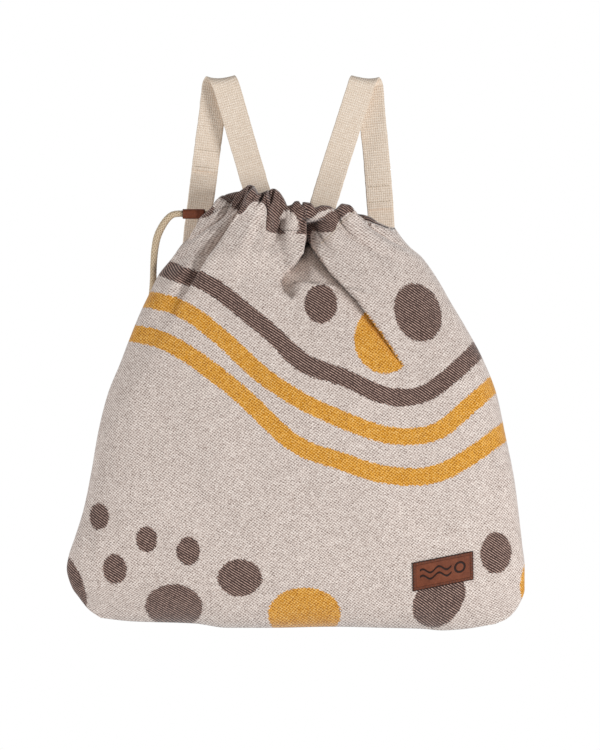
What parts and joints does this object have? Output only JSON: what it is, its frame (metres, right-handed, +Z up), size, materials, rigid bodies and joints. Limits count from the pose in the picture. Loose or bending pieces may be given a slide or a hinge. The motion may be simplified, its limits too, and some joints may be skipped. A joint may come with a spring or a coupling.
{
  "type": "drawstring backpack",
  "caption": "Cloth drawstring backpack with gathered casing, round drawcord with leather slider, leather label and two webbing straps, hanging by its straps.",
  "frame": {"origin": "middle of the rod that passes under the folds of both straps, from which the backpack hangs", "axes": "+Z up, the front panel faces -Y, +X to the right as the front is seen, along the rod"},
  "size_m": [0.4298, 0.104, 0.52],
  "materials": {
    "bag_cloth": "matte jacquard twill",
    "brown_cloth": "matte twill",
    "webbing": "matte cotton webbing",
    "drawcord": "matte cotton cord",
    "leather": "smooth semi-matte leather",
    "thread": "matte thread"
  },
  "bodies": {
    "bag": {"front_panel": "bag_cloth", "back_panel": "bag_cloth", "side_seam_left": "brown_cloth", "side_seam_right": "brown_cloth", "bottom_seam": "brown_cloth", "casing_front": "brown_cloth", "casing_back": "brown_cloth", "casing_front_stitching": "thread", "casing_back_stitching": "thread", "drawcord_in_casing": "drawcord", "drawcord_loop": "drawcord", "label": "leather", "label_stitching": "thread", "strap_left_top_end": "webbing", "strap_left_top_stitching": "thread", "strap_left_bottom_end": "webbing", "strap_left_bottom_stitching": "thread", "strap_right_top_end": "webbing", "strap_right_top_stitching": "thread", "strap_right_bottom_end": "webbing", "strap_right_bottom_stitching": "thread"},
    "strap_left": {"strap_left_upper": "webbing", "strap_left_lap_stitching": "thread", "strap_left_lower": "webbing"},
    "strap_right": {"strap_right_upper": "webbing", "strap_right_lap_stitching": "thread", "strap_right_lower": "webbing"},
    "slider": {"cord_slider": "leather", "slider_stitching": "thread"}
  },
  "joints": [
    {"name": "strap_left_swing", "type": "hinge", "parent": "bag", "child": "strap_left", "pos_m": [-0.1047, 0.0011, -0.441], "axis": [-0.2275, 0.0213, -0.9735], "range_deg": [0, 60]},
    {"name": "strap_right_swing", "type": "hinge", "parent": "bag", "child": "strap_right", "pos_m": [0.0877, 0.0024, -0.441], "axis": [-0.2053, -0.0252, 0.9784], "range_deg": [0, 60]},
    {"name": "slider_slide", "type": "slide", "parent": "bag", "child": "slider", "axis": [-1, 0, 0], "range_m": [-0.001, 0.003]}
  ]
}
